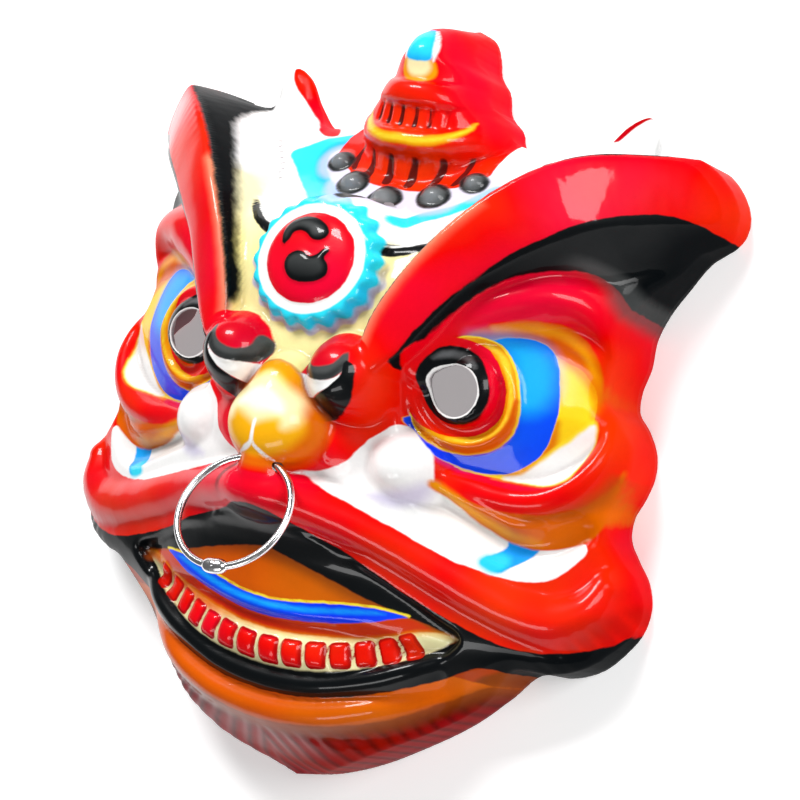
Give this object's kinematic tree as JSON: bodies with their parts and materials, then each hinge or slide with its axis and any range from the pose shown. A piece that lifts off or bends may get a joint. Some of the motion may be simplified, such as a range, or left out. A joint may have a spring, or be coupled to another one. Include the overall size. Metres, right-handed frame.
{
  "type": "lion dance mask",
  "caption": "Moulded plastic lion dance face mask with a stepped horn, swept brows, ringed eyes, an open toothed mouth and a wire nose ring, lying on its open back.",
  "frame": {"origin": "middle of the mask's length and width, on the plane of its flat back rim", "axes": "+Z out of the face, +Y to the horn at the top of the head, +X to the right of a viewer who faces the mask"},
  "size_m": [0.25, 0.2888, 0.0975],
  "materials": {
    "mask_shell": "glossy, painted in many colours",
    "nose_ring": "bright plated wire"
  },
  "bodies": {
    "root": {"mask_shell": "mask_shell", "nose_ring": "nose_ring"}
  },
  "joints": []
}
